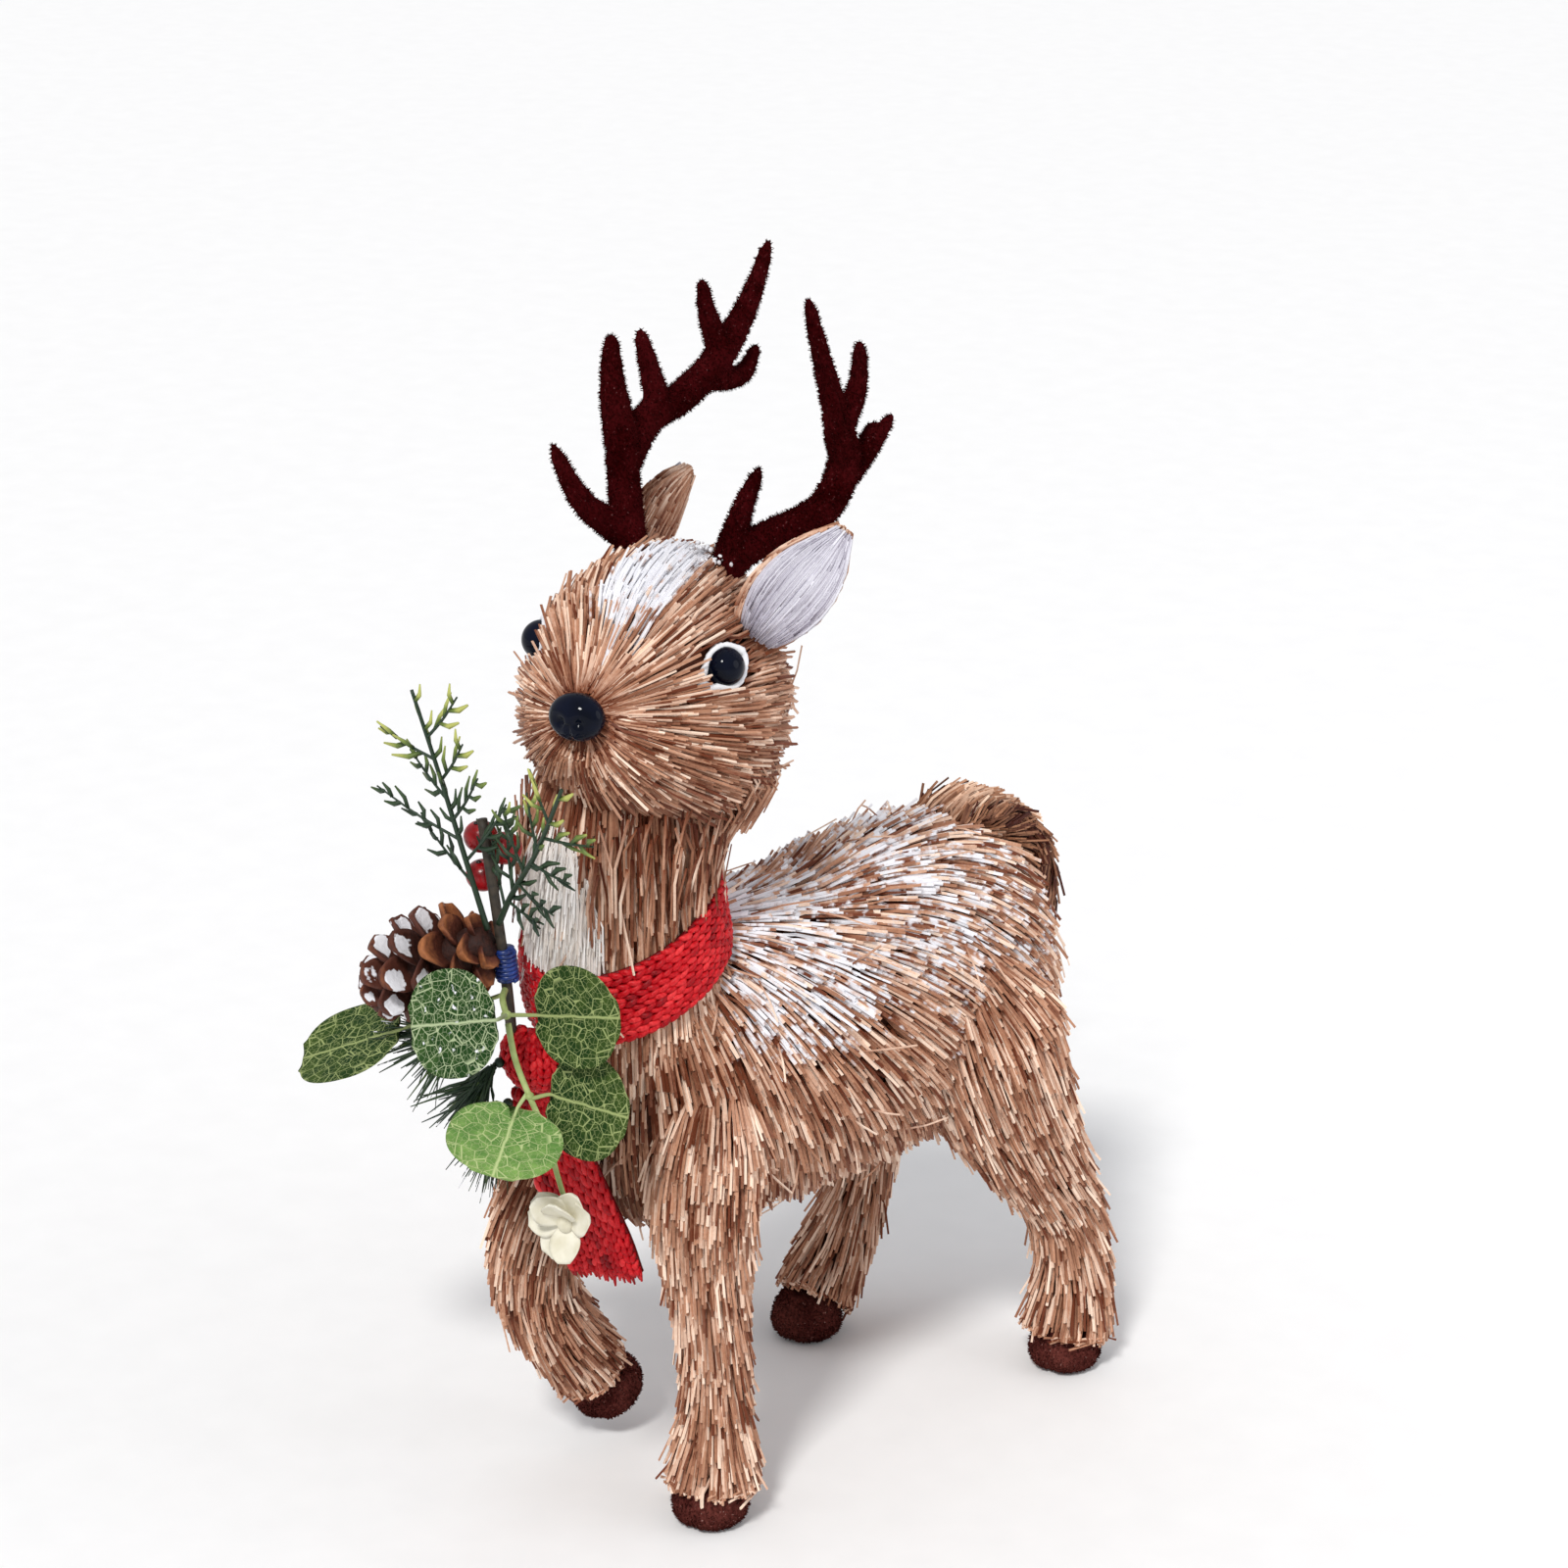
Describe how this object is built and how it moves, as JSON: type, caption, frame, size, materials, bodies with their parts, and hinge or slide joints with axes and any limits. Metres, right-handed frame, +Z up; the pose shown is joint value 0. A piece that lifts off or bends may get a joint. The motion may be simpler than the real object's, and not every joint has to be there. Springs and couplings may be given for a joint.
{
  "type": "straw reindeer ornament",
  "caption": "Standing straw reindeer fawn with one front leg raised, flocked branching antlers, a red knitted scarf and a winter spray of cone, leaves and berries on its chest.",
  "frame": {"origin": "middle of the whole outline, on the floor plane that the three standing hooves rest on", "axes": "+Z up, the fawn faces -Y and its own left side is +X; the head is turned about 21 degrees towards +X"},
  "size_m": [0.1946, 0.3576, 0.5218],
  "materials": {
    "straw": "natural straw, cut ends, snow-frosted on the back",
    "tail_straw": "dark-tipped straw",
    "white_fibre": "fine white plant fibre",
    "ear_white": "ribbed white fibre sheet",
    "foam": "expanded foam, hidden",
    "wire": "drawn steel wire, hidden",
    "dowel": "round wood, hidden",
    "antler_flock": "dark maroon flock",
    "hoof_flock": "dark brown-maroon flock",
    "black_gloss": "gloss black",
    "eyelid_white": "white paint",
    "scarf_red": "glossy red knitted ribbon",
    "pine_cone": "natural scales with snow-white tips",
    "needles": "dark green moulded twigs with yellow-green tips",
    "berry": "gloss red",
    "leaf_green": "green leaf with cream net veins",
    "leaf_pale": "pale green leaf with cream net veins",
    "stem_brown": "dark brown-green stem",
    "stem_green": "pale green stem",
    "blossom_cream": "cream moulded petals",
    "tape_blue": "blue florist tape"
  },
  "bodies": {
    "deer": {"leg_wire_front_left": "wire", "leg_straw_front_left": "straw", "hoof_front_left": "hoof_flock", "leg_wire_front_right": "wire", "leg_straw_front_right": "straw", "hoof_front_right": "hoof_flock", "leg_wire_rear_left": "wire", "leg_straw_rear_left": "straw", "hoof_rear_left": "hoof_flock", "leg_wire_rear_right": "wire", "leg_straw_rear_right": "straw", "hoof_rear_right": "hoof_flock", "torso_foam": "foam", "torso_straw": "straw", "neck_dowel": "dowel", "neck_straw": "straw", "throat_patch": "white_fibre", "tail_straw": "tail_straw", "head_foam": "foam", "head_straw": "straw", "nose": "black_gloss", "eye_left": "black_gloss", "eyelid_left": "eyelid_white", "ear_back_left": "straw", "ear_lining_left": "ear_white", "antler_left": "antler_flock", "eye_right": "black_gloss", "eyelid_right": "eyelid_white", "ear_back_right": "straw", "ear_lining_right": "ear_white", "antler_right": "antler_flock", "scarf_wrap": "scarf_red", "scarf_knot": "scarf_red", "spray_stem": "stem_brown", "binding_tape": "tape_blue", "pine_cone": "pine_cone", "cypress_tall": "needles", "cypress_short": "needles", "berry_1": "berry", "berry_2": "berry", "berry_3": "berry", "needle_tuft_1": "needles", "needle_tuft_2": "needles", "needle_tuft_3": "needles", "eucalyptus_stem": "stem_green", "leaf_front": "leaf_green", "leaf_side": "leaf_green", "leaf_back": "leaf_green"},
    "scarf_end": {"scarf_end": "scarf_red"},
    "sprig_tip": {"sprig_stem": "stem_green", "sprig_leaf_side": "leaf_green", "sprig_leaf_front": "leaf_pale", "blossom": "blossom_cream"}
  },
  "joints": [
    {"name": "scarf_end_swing", "type": "hinge", "parent": "deer", "child": "scarf_end", "pos_m": [0.01584, -0.11945, 0.1985], "axis": [-1, 0, 0], "range_deg": [0, 12]},
    {"name": "sprig_sway", "type": "hinge", "parent": "deer", "child": "sprig_tip", "pos_m": [0.02584, -0.14345, 0.2405], "axis": [-1, 0, 0], "range_deg": [0, 25]}
  ]
}
